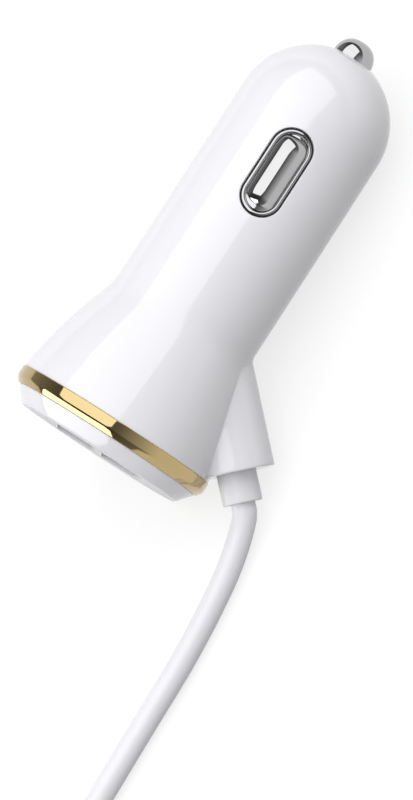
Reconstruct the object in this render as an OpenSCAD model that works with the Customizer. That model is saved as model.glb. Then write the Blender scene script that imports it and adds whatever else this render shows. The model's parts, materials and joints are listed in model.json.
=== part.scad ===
/* [Barrel and nose] */
// Radius of the plain barrel that goes into the socket
barrel_r = 10.5; // [10.2:0.1:10.9]
// Distance from the end face to the start of the rounded nose
barrel_end = 51.7; // [50:0.5:58]
// How much the barrel narrows from the contacts to the nose, for the mould
nose_draft = 0.04; // [0.02:0.01:0.1]
// Thickness of the moulded housing
wall = 1.6; // [1.3:0.1:1.9]
// Radius of the flat seat behind the nose
nose_seat_r = 4.4; // [4.2:0.1:5]

/* [Flare] */
// Distance from the end face to the end of the flare
flare_end = 21.4; // [21:0.2:24]
// Radius of the hollow fillet between flare and barrel
flare_fillet_r = 8; // [6:0.5:10]
// Steepest slope of the flare, in degrees
flare_steepest = 20.5; // [19.5:0.5:22]

/* [Gold ring] */
// Radius of the ring's flat band
ring_r = 14.5; // [14.2:0.1:14.8]
// Length of the flat band
ring_band = 1.45; // [1:0.05:2]
// Length of the bevel towards the end cap
ring_bevel = 0.83; // [0.5:0.01:1.1]
// How far the bevel cuts into the radius
ring_bevel_depth = 0.6; // [0.4:0.05:0.9]
// How far the ring stands proud of the housing
ring_proud = 0.13; // [0.05:0.01:0.3]
// Thickness of the ring's wall
ring_wall = 1.65; // [1.4:0.05:1.8]

/* [End cap] */
// How far the cap's rim lies inside the ring's bevel
cap_step = 0.22; // [0.1:0.02:0.4]
// How much smaller the radius of the end face is than the rim's
cap_taper = 1.83; // [1.4:0.01:2.2]
// Thickness of the cap
cap_len = 2.12; // [1.8:0.02:2.6]
// Small bevel round the end face
cap_edge = 0.12; // [0.05:0.01:0.3]
// Thickness of the skirt that carries the ring and the housing
skirt_wall = 1.2; // [1:0.1:1.4]
// How far the skirt goes into the housing
skirt_grip = 2; // [1.5:0.1:2.2]

/* [Tip contact] */
// Radius of the round tip pin
tip_r = 2.86; // [2.6:0.02:3.1]
// How far the tip stands out of the nose
tip_reach = 2.26; // [2.1:0.02:3]
// How far the tip can be pushed in
tip_travel = 2; // [1.5:0.1:2]
// Radius of the flange that keeps the tip in
tip_flange_r = 4.1; // [3.8:0.1:4.1]
// Thickness of that flange
tip_flange = 1.1; // [0.8:0.1:1.3]
// Radius of the spring's wire
spring_wire = 0.22; // [0.15:0.01:0.26]
// Turns of the spring
spring_turns = 5; // [4:1:6]
// Radius of the pegs that centre the spring
spring_peg_r = 1.3; // [1.1:0.1:1.5]

/* [Side contacts] */
// Distance from the end face to the middle of a side contact
contact_z = 43.15; // [42:0.1:44]
// Length of the chrome rim
bezel_len = 12.9; // [12:0.1:14]
// Width of the chrome rim
bezel_w = 5.9; // [5.5:0.1:6.4]
// Width of the rim's band
bezel_band = 0.7; // [0.5:0.05:0.9]
// Depth of the step that the rim sits in
bezel_seat = 0.85; // [0.75:0.05:0.95]
// How far the rim lies below the barrel's surface
bezel_sink = 0.2; // [0.1:0.05:0.3]
// How far the crown stands out of the barrel
contact_proud = 0.85; // [0.7:0.05:1]
// How far a side contact can be pushed in
contact_travel = 0.95; // [0.8:0.05:1.1]
// Radius of the crown across its width
crown_r = 2.7; // [2.5:0.1:3.2]
// Height of the crown above the contact's straight side
crown_rise = 1.1; // [0.9:0.05:1.3]
// Thickness of the flange that keeps a side contact in
contact_flange = 0.65; // [0.5:0.05:0.8]
// Thickness of the leaf spring's strip
leaf_t = 0.3; // [0.2:0.05:0.4]
// Width of the leaf spring
leaf_w = 3.4; // [2.5:0.1:4]

/* [Cable boss] */
// Radius of the boss
boss_r = 5.19; // [5:0.05:5.5]
// Angle between the boss and the plug's axis, in degrees
boss_angle = 45; // [42:1:48]
// Distance from the end face to the middle of the boss's end
boss_z = 7.63; // [7.4:0.05:8.4]
// How far the middle of the boss's end stands out past the ring
boss_stand = 2.26; // [2:0.02:2.8]
// Thickness of the boss's end wall
boss_end = 1.4; // [1:0.1:1.8]
// Thickness of the boss's round wall
boss_wall = 1.5; // [1.2:0.1:1.8]

/* [Cable and grommet] */
// Diameter of the cable
cable_d = 3.3; // [3:0.1:3.6]
// Radius of the grommet's collar
collar_r = 2.665; // [2.4:0.02:2.9]
// Length of the collar outside the boss
collar_len = 4.07; // [3.5:0.05:5]
// Thickness of the grommet's inner flange
grommet_flange = 1.2; // [0.8:0.1:1.5]
// Radius of a lead inside the plug
lead_r = 0.65; // [0.5:0.05:0.75]
// Distance between the two leads
lead_pitch = 1.8; // [1.6:0.1:2.2]
// Mean radius of the coiled stretch
coil_r = 18.9; // [17:0.1:22]
// Turns of cable side by side in the coil
coil_rows = 3; // [2:1:4]

/* [Sockets] */
// Width of a socket's metal shell
socket_w = 13.1; // [12.8:0.1:13.4]
// Height of a socket's metal shell
socket_h = 5.7; // [5.6:0.1:5.9]
// Length of a socket
socket_len = 14; // [12:0.5:14.5]
// Thickness of the metal shell
socket_wall = 0.3; // [0.25:0.05:0.4]
// Depth of a socket's mouth behind the end face
socket_inset = 0.4; // [0.2:0.1:0.8]
// Width of the tongue
tongue_w = 11.1; // [10.8:0.1:11.3]
// Thickness of the tongue
tongue_t = 1.9; // [1.7:0.1:2.1]
// Length of the socket's rear block
core_len = 3; // [2:0.5:4]
// Width of a contact strip
strip_w = 1.1; // [0.9:0.1:1.3]
// Distance between contact strips
strip_pitch = 2.4; // [2.2:0.1:2.5]

/* [Circuit board] */
// Thickness of the board
board_t = 1.2; // [1:0.1:1.6]
// Distance from the end face to the board's near edge
board_start = 3.2; // [3:0.1:4]
// Distance from the end face to the board's shoulders
board_shoulder = 35; // [34:0.5:35.5]
// Width of the board's narrow tongue
board_neck_w = 8; // [7:0.5:8.5]
// Thickness of the tip spring's terminal
terminal_t = 0.6; // [0.4:0.1:0.8]

/* [Lead plug] */
// Length of the moulded grip
grip_len = 17; // [15:0.5:20]
// Width of the grip
grip_w = 10.6; // [10:0.1:12]
// Height of the grip
grip_h = 6.2; // [5.8:0.1:7]
// Length of the tapered sleeve
sleeve_len = 7; // [6:0.5:9]
// Length of the metal plug
plug_len = 6.6; // [6:0.1:7]
// Width of the metal plug
plug_w = 8.3; // [8:0.1:8.6]
// Height of the metal plug
plug_h = 2.5; // [2.4:0.1:2.8]

/* [Hidden] */
$fn = 64;

// Clearances: a moulded joint, a sliding piece and a loose one
fit = 0.05;
slide_gap = 0.06;
loose = 0.15;
// Overshoot of a cutting shape past the face that it opens
past = 1;

// Places along the axis, from the flat end face at 0
ring_start = cap_len;
ring_front = ring_start + ring_bevel + ring_band;
skirt_end = ring_front + skirt_grip;
nose_centre = barrel_end;
nose_r = barrel_r - nose_draft;
nose_end = barrel_end + nose_r;
plain_end = contact_z - bezel_len / 2 - 0.3;
tip_centre = nose_end + tip_reach - tip_r;

// The flare: a round shoulder that runs into a hollow fillet
tail_r = ring_r - ring_proud;
bore_r = barrel_r - wall;
land_r = ring_r - ring_wall;
skirt_r = land_r - fit;
cap_rim_r = ring_r - ring_bevel_depth - cap_step;
cap_face_r = cap_rim_r - cap_taper;
fillet_centre = [barrel_r + flare_fillet_r, flare_end];
turn = fillet_centre - flare_fillet_r * [cos(flare_steepest), sin(flare_steepest)];
flare_start_slope = 2 * atan((tail_r - turn.x) / (turn.y - ring_front)) - flare_steepest;
shoulder_r = (turn.y - ring_front) / (sin(flare_steepest) - sin(flare_start_slope));
shoulder_centre = turn - shoulder_r * [cos(flare_steepest), sin(flare_steepest)];
land_slope = asin((skirt_end - shoulder_centre.y) / (shoulder_r - wall));

// The nose seat, and what stands behind it
seat_angle = acos(nose_seat_r / bore_r);
nose_seat = nose_centre + bore_r * sin(seat_angle);
tip_flange_front = nose_seat - fit;
tip_flange_back = tip_flange_front - tip_flange;
peg_len = 1;
spring_rest_len = 3 * tip_travel;
spring_r = spring_peg_r + spring_wire + loose;
terminal_front = tip_flange_back - spring_rest_len;
board_end = terminal_front - terminal_t;

// The board fills the bore from side to side
board_w = 2 * (sqrt(pow(bore_r, 2) - pow(board_t / 2, 2)) - fit);
board_shift = board_t / 2;

// Heights of the side contacts, measured from the plug's axis
bezel_base = barrel_r - bezel_seat;
opening_len = bezel_len - 2 * bezel_band;
opening_w = bezel_w - 2 * bezel_band;
button_len = opening_len - 2 * loose;
button_w = opening_w - 2 * loose;
crown_top = barrel_r + contact_proud;
flange_w = opening_w + 1;
flange_len = opening_len + 1;
flange_top = sqrt(pow(bore_r, 2) - pow(flange_w / 2, 2)) - loose;
flange_base = flange_top - contact_flange;

// Sockets, back to back on the board, and what stands behind them
socket_y = board_shift + socket_h / 2;
socket_end = socket_inset + socket_len;
tongue_front = socket_inset + 1.2;
tongue_y = 0.6;
inductor_r = 3.4;
inductor_z = socket_end + inductor_r + 3.2;
lead_pad = socket_end + 4.6;
chip_start = lead_pad + 2;
chip_len = 5;

// The boss and its grommet
boss_reach = ring_r + boss_stand;
cavity_r = boss_r - boss_wall;
grommet_r = cavity_r - loose;
collar_z = boss_z - collar_len * cos(boss_angle);
collar_reach = boss_reach + collar_len * sin(boss_angle);
lead_start = boss_end + grommet_flange;

// At rest the plug lies on its ring, its nose and the edge of the boss
rest_tilt = acos(nose_r / norm([ring_r, nose_centre - ring_front]))
    - atan((nose_centre - ring_front) / ring_r);
rest_h = ring_r * cos(rest_tilt) + ring_front * sin(rest_tilt);

// Height of the boss's lowest point above the floor at a given roll
function boss_gap(roll) = rest_h - boss_reach * cos(rest_tilt) * sin(roll) - boss_z * sin(rest_tilt)
    - boss_r * norm([
        cos(boss_angle) * cos(rest_tilt) * sin(roll) + sin(boss_angle) * sin(rest_tilt),
        cos(rest_tilt) * cos(roll)
    ]);

// The roll at which the boss meets the floor, found by halving
function roll_between(low, high, steps) =
    let (middle = (low + high) / 2)
    steps == 0 ? middle
    : boss_gap(middle) > 0 ? roll_between(middle, high, steps - 1)
    : roll_between(low, middle, steps - 1);

rest_roll = roll_between(0, 60, 30);

// Middle of the laid plug's outline on the floor
tail_x = -cap_face_r * sin(rest_tilt);
nose_x = tip_centre * cos(rest_tilt) + tip_r;
mid_x = (tail_x + nose_x) / 2;
collar_side = collar_reach * cos(rest_roll)
    + collar_r * norm([cos(boss_angle) * cos(rest_roll), sin(rest_roll)]);
mid_y = (ring_r - collar_side) / 2;

// A point of the upright plug, on the plug as it lies
function laid(p) =
    let (
        x = p.x * cos(rest_roll) - p.y * sin(rest_roll),
        y = p.x * sin(rest_roll) + p.y * cos(rest_roll)
    )
    [
        p.z * cos(rest_tilt) - x * sin(rest_tilt) - mid_x,
        y - mid_y,
        rest_h - x * cos(rest_tilt) - p.z * sin(rest_tilt)
    ];

// The cable's route over the floor, from the collar to the coil
collar_tip = laid([0, -collar_reach, collar_z]);
collar_out = laid([0, -collar_reach - sin(boss_angle), collar_z - cos(boss_angle)]);
cable_floor = cable_d / 2;
run_y = -16.9;
cable_route = [
    collar_tip,
    collar_out,
    [-29.9, -15.4, 2.7],
    [-33.4, -16.1, 2.1],
    [-37, -16.6, 1.75],
    [-41.3, -17, cable_floor],
    [-49.9, -17.4, cable_floor],
    [-58.8, -17.2, cable_floor],
    [-68.3, -17, cable_floor],
    [-78, run_y, cable_floor],
    [-88, run_y, cable_floor],
    [-94, run_y, cable_floor],
    [-101, run_y, cable_floor]
];

// The coil, and the short tail that leaves its outer turn for the lead's plug
coil_centre = [-113, run_y + coil_r + cable_d, 0];
coil_half = coil_rows * cable_d / 2;
grip_axis = grip_h / 2;
sleeve_start = -93;
tail_y = coil_centre.y + coil_r + cable_d;
tail_route = [
    [-101, tail_y, 4.3],
    [-98, tail_y, 3.5],
    [-95.5, tail_y, grip_axis],
    [sleeve_start, tail_y, grip_axis]
];

// Points of an arc in the plane, from one angle to another
function arc(centre, r, from, to, steps) = [
    for (i = [0:steps])
        let (a = from + (to - from) * i / steps)
        centre + r * [cos(a), sin(a)]
];

// Outline of a rectangle with round corners
function rounded(w, h, r, steps = 5) = concat(
    arc([w / 2 - r, h / 2 - r], r, 0, 90, steps),
    arc([r - w / 2, h / 2 - r], r, 90, 180, steps),
    arc([r - w / 2, r - h / 2], r, 180, 270, steps),
    arc([w / 2 - r, r - h / 2], r, 270, 360, steps)
);

function unit(v) = v / norm(v);

// Direction of a route at one of its points
function heading(route, i) = unit(
    route[min(i + 1, len(route) - 1)] - route[max(i - 1, 0)]
);

// One ring of points round a route; side is any direction across it
function ring_at(route, i, r, side, sides) =
    let (
        along = heading(route, i),
        across = unit(cross(along, side)),
        over = cross(across, along)
    )
    [for (k = [0:sides - 1]) route[i] + r * (cos(360 * k / sides) * across + sin(360 * k / sides) * over)];

// A round tube swept along a route
module tube(route, r, side, sides = 8) {
    count = len(route);
    points = [for (i = [0:count - 1]) each ring_at(route, i, r, side, sides)];
    walls = [
        for (i = [0:count - 2], k = [0:sides - 1])
            let (next = (k + 1) % sides)
            [i * sides + k, i * sides + next, (i + 1) * sides + next, (i + 1) * sides + k]
    ];
    first = [for (k = [sides - 1:-1:0]) k];
    last = [for (k = [0:sides - 1]) (count - 1) * sides + k];
    polyhedron(points, concat([first], walls, [last]), convexity = 8);
}

// Outline of a strip of even thickness along a bent line
function strip_side(line, offset) = [
    for (i = [0:len(line) - 1])
        let (
            before = unit(line[max(i, 1)] - line[max(i, 1) - 1]),
            after = unit(line[min(i + 1, len(line) - 1)] - line[min(i + 1, len(line) - 1) - 1]),
            across = unit([-before.y - after.y, before.x + after.x])
        )
        line[i] + across * offset / (across * [-before.y, before.x])
];

function strip(line, t) = concat(
    strip_side(line, t / 2),
    [for (i = [len(line) - 1:-1:0]) strip_side(line, -t / 2)[i]]
);

// Lays the upright plug down as it rests on the floor
module lay() {
    translate([-mid_x, -mid_y, rest_h])
    rotate([0, 90 + rest_tilt, 0])
    rotate([0, 0, rest_roll])
    children();
}

// Frame of the boss: its end face at 0, outwards along +Z
module at_boss() {
    translate([0, -boss_reach, boss_z])
    rotate([180 - boss_angle, 0, 0])
    children();
}

// Frame of a side contact: its middle on the axis, outwards along +Z
module at_contact(turned = 0) {
    rotate([0, 0, turned])
    translate([0, 0, contact_z])
    rotate([0, 90, 0])
    children();
}

// A prism with round ends, its length along the plug
module obround(length, width, low, high) {
    translate([0, 0, low])
    linear_extrude(high - low)
    polygon(concat(
        arc([(length - width) / 2, 0], width / 2, -90, 90, 16),
        arc([(width - length) / 2, 0], width / 2, 90, 270, 16)
    ));
}

// Outline of the housing's outside, from the tail to the nose
function outer_line() = concat(
    arc(shoulder_centre, shoulder_r, flare_start_slope, flare_steepest, 16),
    arc(fillet_centre, -flare_fillet_r, flare_steepest * 5 / 6, 0, 5),
    [[barrel_r, plain_end]],
    arc([0, nose_centre], nose_r, 0, 90, 24)
);

// Outline of the hollow inside it, from the cap's seat to the nose
function inner_line() = concat(
    arc(shoulder_centre, shoulder_r - wall, land_slope, flare_steepest, 12),
    arc(fillet_centre, -flare_fillet_r - wall, flare_steepest * 5 / 6, 0, 5),
    arc([0, nose_centre], bore_r, 0, seat_angle, 16)
);

module housing_body() {
    rotate_extrude($fn = 128)
    polygon(concat([[0, ring_front]], outer_line()));
}

module housing_hollow() {
    rotate_extrude($fn = 128)
    polygon(concat(
        [[0, ring_front - past], [land_r, ring_front - past], [land_r, skirt_end]],
        inner_line(),
        [[0, nose_seat]]
    ));
}

// The boss, cut off level with the housing's tail
module boss() {
    depth = boss_reach / sin(boss_angle) - boss_r;
    intersection() {
        at_boss()
        translate([0, 0, -depth])
        cylinder(h = depth, r = boss_r);
        translate([-boss_r - past, -2 * boss_reach, ring_front])
        cube([2 * (boss_r + past), 2 * boss_reach, nose_centre]);
    }
}

module boss_hollow() {
    depth = (boss_reach - bore_r + cavity_r) / sin(boss_angle);
    at_boss() {
        translate([0, 0, -depth])
        cylinder(h = depth - boss_end, r = cavity_r);
        translate([0, 0, -boss_end - past])
        cylinder(h = boss_end + past + collar_len, r = collar_r + fit);
    }
}

// A stepped window in the barrel: a seat for the rim and a way through
module contact_window(turned) {
    at_contact(turned) {
        obround(bezel_len + 2 * fit, bezel_w + 2 * fit, bezel_base, barrel_r + past);
        obround(opening_len, opening_w, bore_r / 2, barrel_r + past);
    }
}

module housing_shell() {
    color("white")
    lay()
    difference() {
        union() {
            housing_body();
            boss();
        }
        housing_hollow();
        boss_hollow();
        contact_window(0);
        contact_window(180);
        translate([0, 0, nose_centre])
        cylinder(h = barrel_r + past, r = tip_r + slide_gap);
    }
}

// Window for a socket, and the socket shapes that go into it
module socket_block(w, h, from, to, corner) {
    translate([0, 0, from])
    linear_extrude(to - from)
    polygon(rounded(w, h, corner));
}

module end_cap() {
    color("white")
    lay()
    difference() {
        rotate_extrude($fn = 128)
        polygon([
            [0, 0],
            [cap_face_r, 0],
            [cap_face_r + 2 * cap_edge, cap_edge],
            [cap_rim_r, cap_len],
            [skirt_r, cap_len],
            [skirt_r, skirt_end - fit],
            [skirt_r - skirt_wall, skirt_end - fit],
            [skirt_r - skirt_wall, cap_len],
            [0, cap_len]
        ]);
        for (side = [-1, 1])
            translate([0, side * socket_y, 0])
            socket_block(socket_w + 4 * fit, socket_h + 4 * fit, -past, cap_len + past, 0.7);
    }
}

module gold_ring() {
    color("goldenrod")
    lay()
    rotate_extrude($fn = 128)
    polygon([
        [land_r, ring_start],
        [ring_r - ring_bevel_depth, ring_start],
        [ring_r, ring_start + ring_bevel],
        [ring_r, ring_front],
        [land_r, ring_front]
    ]);
}

module tip_contact() {
    color("silver")
    lay()
    rotate_extrude($fn = 96)
    polygon(concat(
        [
            [0, tip_flange_back - peg_len],
            [spring_peg_r, tip_flange_back - peg_len],
            [spring_peg_r, tip_flange_back],
            [tip_flange_r, tip_flange_back],
            [tip_flange_r, tip_flange_front],
            [tip_r, tip_flange_front]
        ],
        arc([0, tip_centre], tip_r, 0, 90, 16)
    ));
}

// A helix between the tip's flange and its terminal
module tip_spring() {
    low = terminal_front + spring_wire + fit;
    high = tip_flange_back - spring_wire - fit;
    steps = spring_turns * 14;
    route = [
        for (i = [0:steps])
            let (a = 360 * spring_turns * i / steps)
            [spring_r * cos(a), spring_r * sin(a), low + (high - low) * i / steps]
    ];
    color("gray")
    lay()
    tube(route, spring_wire, [0, 0, 1], 6);
}

// A cup on the board's end, with a peg for the spring and two solder legs
module tip_terminal() {
    leg_w = 2.4;
    leg_t = 0.4;
    leg_len = 3;
    color("gold")
    lay() {
        translate([0, 0, board_end])
        cylinder(h = terminal_t, r = board_neck_w / 2 - 0.5);
        translate([0, 0, terminal_front - fit])
        cylinder(h = peg_len + fit, r = spring_peg_r);
        for (side = [-1, 1])
            translate([-leg_w / 2, side * (board_shift + leg_t / 2) - leg_t / 2, board_end - leg_len])
            cube([leg_w, leg_t, leg_len + terminal_t / 2]);
    }
}

// A convex button with a flange that stays behind the barrel's wall
module side_contact(turned) {
    straight = crown_top - crown_rise;
    crown_half = button_len / 2 - sqrt(pow(crown_r, 2) - pow(crown_r - crown_rise, 2));
    color("silver")
    lay()
    at_contact(turned) {
        obround(flange_len, flange_w, flange_base, flange_top);
        obround(button_len, button_w, flange_top - fit, straight);
        intersection() {
            obround(button_len, button_w, straight - fit, crown_top + past);
            translate([0, 0, crown_top - crown_r])
            rotate([0, 90, 0])
            rotate_extrude($fn = 96)
            polygon(concat(
                arc([0, crown_half], crown_r, 90, 0, 10),
                arc([0, -crown_half], crown_r, 0, -90, 10)
            ));
        }
    }
}

module side_contact_upper() {
    side_contact(180);
}

module side_contact_lower() {
    side_contact(0);
}

// The rim's outside follows the round of the barrel
module contact_bezel(turned) {
    color("silver")
    lay()
    at_contact(turned)
    intersection() {
        difference() {
            obround(bezel_len, bezel_w, bezel_base, barrel_r + past);
            obround(opening_len, opening_w, bezel_base - past, barrel_r + 2 * past);
        }
        rotate([0, 90, 0])
        cylinder(h = 2 * bezel_len, r = barrel_r - bezel_sink, center = true, $fn = 128);
    }
}

module contact_bezel_upper() {
    contact_bezel(180);
}

module contact_bezel_lower() {
    contact_bezel(0);
}

// A folded strip: its foot on the board's shoulder, its back under the contact
module contact_leaf(turned) {
    foot = board_shoulder + leaf_t / 2;
    back = flange_base - fit - leaf_t / 2;
    fold = board_neck_w / 2 + 1;
    line = [
        [board_w / 2 - 1, foot],
        [fold, foot],
        [back, contact_z],
        [back - contact_travel, contact_z + opening_len / 3]
    ];
    color("khaki")
    lay()
    rotate([0, 0, turned])
    rotate([90, 0, 0])
    linear_extrude(leaf_w, center = true)
    polygon(strip(line, leaf_t));
}

module contact_leaf_upper() {
    contact_leaf(180);
}

module contact_leaf_lower() {
    contact_leaf(0);
}

module circuit_board() {
    neck = board_neck_w / 2;
    half = board_w / 2;
    color("darkgreen")
    lay()
    rotate([90, 0, 0])
    linear_extrude(board_t, center = true)
    polygon([
        [-half, board_start],
        [half, board_start],
        [half, board_shoulder],
        [neck, board_shoulder],
        [neck, board_end],
        [-neck, board_end],
        [-neck, board_shoulder],
        [-half, board_shoulder]
    ]);
}

// A round can that stands on the board
module power_inductor() {
    inductor_h = 4.4;
    color("dimgray")
    lay()
    translate([0, board_shift, inductor_z])
    rotate([-90, 0, 0])
    cylinder(h = inductor_h, r = inductor_r);
}

// A can that lies on the board, along it
module lying_can(r, length, from, side) {
    translate([0, side * (board_shift + r + fit), from])
    cylinder(h = length, r = r);
}

module input_capacitor() {
    color("slategray")
    lay()
    lying_can(2.8, 8, inductor_z + inductor_r + 1.6, 1);
}

module output_capacitor() {
    color("slategray")
    lay()
    lying_can(2.4, 6.5, chip_start + chip_len + 1, -1);
}

// A flat block on the board's near side
module near_block(w, h, length, from) {
    translate([-w / 2, -board_shift - h, from])
    cube([w, h, length]);
}

module controller_chip() {
    color("black")
    lay()
    near_block(4, 1.5, chip_len, chip_start);
}

module fuse() {
    color("white")
    lay()
    near_block(2.4, 1, 5, board_shoulder + 3);
}

// A square metal tube with a closed back
module usb_shell(side) {
    inner_w = socket_w - 2 * socket_wall;
    inner_h = socket_h - 2 * socket_wall;
    color("lightgray")
    lay()
    translate([0, side * socket_y, 0])
    difference() {
        socket_block(socket_w, socket_h, socket_inset, socket_end, 0.6);
        socket_block(inner_w, inner_h, socket_inset - past, socket_end - socket_wall, 0.3);
    }
}

module usb_shell_near() {
    usb_shell(-1);
}

module usb_shell_far() {
    usb_shell(1);
}

// The insulator: a rear block and the tongue that carries the strips
module usb_core(side) {
    inner_w = socket_w - 2 * socket_wall - 2 * fit;
    inner_h = socket_h - 2 * socket_wall - 2 * fit;
    core_end = socket_end - socket_wall - fit;
    color("whitesmoke")
    lay()
    translate([0, side * socket_y, 0]) {
        socket_block(inner_w, inner_h, core_end - core_len, core_end, 0.3);
        translate([0, side * tongue_y, 0])
        socket_block(tongue_w, tongue_t, tongue_front, core_end - fit, 0.2);
    }
}

module usb_core_near() {
    usb_core(-1);
}

module usb_core_far() {
    usb_core(1);
}

// Four contact strips on the tongue's inner face
module usb_pins(side) {
    strip_t = 0.15;
    strip_len = socket_end - socket_wall - fit - core_len - tongue_front - 1;
    face = socket_y + tongue_y - tongue_t / 2 - strip_t / 2;
    color("gold")
    lay()
    for (i = [-1.5:1:1.5])
        translate([i * strip_pitch - strip_w / 2, side * face - strip_t / 2, tongue_front + 0.5])
        cube([strip_w, strip_t, strip_len]);
}

module usb_pins_near() {
    usb_pins(-1);
}

module usb_pins_far() {
    usb_pins(1);
}

// The collar outside the boss and the flange that holds it inside
module cable_grommet() {
    color("white")
    lay()
    at_boss()
    rotate_extrude($fn = 96)
    polygon([
        [0, collar_len],
        [collar_r, collar_len],
        [collar_r, -boss_end],
        [grommet_r, -boss_end],
        [grommet_r, -lead_start],
        [0, -lead_start]
    ]);
}

// A lead from the grommet's flange to its pad on the board
module lead(side) {
    x = side * lead_pitch / 2;
    in_y = boss_reach - lead_start * sin(boss_angle);
    in_z = boss_z + lead_start * cos(boss_angle);
    straight = 4;
    route = [
        [x, -in_y, in_z],
        [x, -in_y + straight * sin(boss_angle), in_z + straight * cos(boss_angle)],
        [x * 1.2, -8.2, lead_pad - 2],
        [x * 1.5, -5.6, lead_pad - 0.5],
        [x * 1.7, -3, lead_pad],
        [x * 1.7, -board_shift - 1, lead_pad],
        [x * 1.7, -board_shift, lead_pad]
    ];
    tube(route, lead_r, [1, 0, 0]);
}

module lead_positive() {
    color("red")
    lay()
    lead(1);
}

module lead_negative() {
    color("black")
    lay()
    lead(-1);
}

module cable() {
    color("white")
    tube(cable_route, cable_d / 2, [0, 0, 1]);
}

// The bundled turns, as one ring with a rounded section
module cable_coil() {
    color("white")
    translate([coil_centre.x, coil_centre.y, coil_half])
    rotate_extrude($fn = 96)
    translate([coil_r, 0])
    polygon(rounded(2 * coil_half, 2 * coil_half, cable_d / 2, 4));
}

module cable_tail() {
    color("white")
    tube(tail_route, cable_d / 2, [0, 0, 1]);
}

// Frame of the lead's plug: its axis along +Z, its width along Y
module at_plug(from) {
    translate([sleeve_start + from, tail_y, grip_axis])
    rotate([0, 90, 0])
    children();
}

// A tapered sleeve with flexing grooves
module plug_sleeve() {
    small_r = 2.2;
    large_r = 2.8;
    groove = 0.3;
    rings = 4;
    step = sleeve_len / (2 * rings + 1);
    color("white")
    at_plug(0)
    rotate_extrude($fn = 64)
    polygon(concat(
        [[0, 0]],
        [
            for (i = [0:2 * rings])
                let (r = small_r + (large_r - small_r) * i / (2 * rings) - (i % 2) * groove)
                each [[r, i * step], [r, (i + 1) * step]]
        ],
        [[0, sleeve_len]]
    ));
}

// The moulded grip, narrowed to a soft edge at both ends
module plug_grip() {
    edge = 0.6;
    color("white")
    at_plug(sleeve_len) {
        translate([0, 0, edge])
        linear_extrude(grip_len - 2 * edge)
        polygon(rounded(grip_h, grip_w, 2.4, 6));
        linear_extrude(grip_len)
        polygon(rounded(grip_h - 2 * edge, grip_w - 2 * edge, 2.4 - edge, 6));
    }
}

// The metal plug: an open flat tube with round sides
module plug_shell() {
    plug_wall = 0.3;
    color("silver")
    at_plug(sleeve_len + grip_len)
    difference() {
        linear_extrude(plug_len)
        polygon(rounded(plug_h, plug_w, plug_h / 2 - 0.02, 8));
        translate([0, 0, plug_wall])
        linear_extrude(plug_len)
        polygon(rounded(plug_h - 2 * plug_wall, plug_w - 2 * plug_wall, plug_h / 2 - plug_wall - 0.02, 8));
    }
}

module plug_tongue() {
    color("dimgray")
    at_plug(sleeve_len + grip_len + 0.3)
    translate([-0.35, -3, 0])
    cube([0.7, 6, plug_len - 1.2]);
}

housing_shell();
end_cap();
gold_ring();
tip_contact();
tip_spring();
tip_terminal();
side_contact_upper();
side_contact_lower();
contact_bezel_upper();
contact_bezel_lower();
contact_leaf_upper();
contact_leaf_lower();
circuit_board();
power_inductor();
input_capacitor();
output_capacitor();
controller_chip();
fuse();
usb_shell_near();
usb_shell_far();
usb_core_near();
usb_core_far();
usb_pins_near();
usb_pins_far();
cable_grommet();
lead_positive();
lead_negative();
cable();
cable_coil();
cable_tail();
plug_sleeve();
plug_grip();
plug_shell();
plug_tongue();
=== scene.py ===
"""A car charger plug that lies on a pale floor, with its lead coiled beside it.

The plug is worked out upright, in millimetres: its end face at z = 0, its nose towards +z, its
cable boss towards -y and its side contacts at +x and -x. lay() then turns it to where it lies.
"""
import json

import bmesh
import bpy
import numpy as np
from mathutils import Matrix

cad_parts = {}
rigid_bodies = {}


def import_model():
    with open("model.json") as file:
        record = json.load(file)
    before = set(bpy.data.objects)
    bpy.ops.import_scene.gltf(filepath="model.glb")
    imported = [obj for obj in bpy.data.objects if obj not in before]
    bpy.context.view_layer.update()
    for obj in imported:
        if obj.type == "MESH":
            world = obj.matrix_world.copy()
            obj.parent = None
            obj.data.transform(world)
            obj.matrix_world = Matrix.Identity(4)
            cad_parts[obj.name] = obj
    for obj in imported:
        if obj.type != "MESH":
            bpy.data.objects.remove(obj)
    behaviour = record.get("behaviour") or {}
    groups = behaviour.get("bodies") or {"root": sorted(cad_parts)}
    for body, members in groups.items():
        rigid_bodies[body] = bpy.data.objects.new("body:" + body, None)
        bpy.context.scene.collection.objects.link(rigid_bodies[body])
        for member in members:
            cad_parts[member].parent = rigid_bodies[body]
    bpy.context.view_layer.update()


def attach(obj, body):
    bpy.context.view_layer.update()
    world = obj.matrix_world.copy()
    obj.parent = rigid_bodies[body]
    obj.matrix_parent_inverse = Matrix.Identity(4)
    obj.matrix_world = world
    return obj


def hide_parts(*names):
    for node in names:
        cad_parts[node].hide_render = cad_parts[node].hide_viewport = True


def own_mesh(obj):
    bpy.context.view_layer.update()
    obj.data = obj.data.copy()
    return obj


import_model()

# How the plug lies: tipped over, rolled round its axis, and shifted
TILT, ROLL = np.radians(4.8369536330100145), np.radians(33.758357064798474)
REST_H, MID_X, MID_Y = 14.819371218800901, 31.60078354083864, -1.9912959422645997

# Barrel, nose and flare
BARREL_R, BARREL_END, BORE_R, WALL = 10.5, 51.7, 8.9, 1.6
PLAIN_END, NOSE_R = 36.4, 10.46
FLARE_END, FILLET_R, STEEPEST = 21.4, 8.0, np.radians(20.5)
RING_FRONT, TAIL_R, LAND_R, SKIRT_END = 4.4, 14.37, 12.85, 6.4
SEAT_R, TIP_HOLE_R = 4.4, 2.92
NOSE_SEAT = BARREL_END + np.sqrt(BORE_R**2 - SEAT_R**2)

# Side contacts: the height of their middle, the straight half length of every round-ended
# outline, how far they go in, the ledge that the rim stands on, and the window's two radii
CONTACT_Z, STRAIGHT, CONTACT_TRAVEL = 43.15, 3.5, 0.95
RIM_BASE, OPENING_R, POCKET_R = 9.65, 2.25, 3.0

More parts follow.
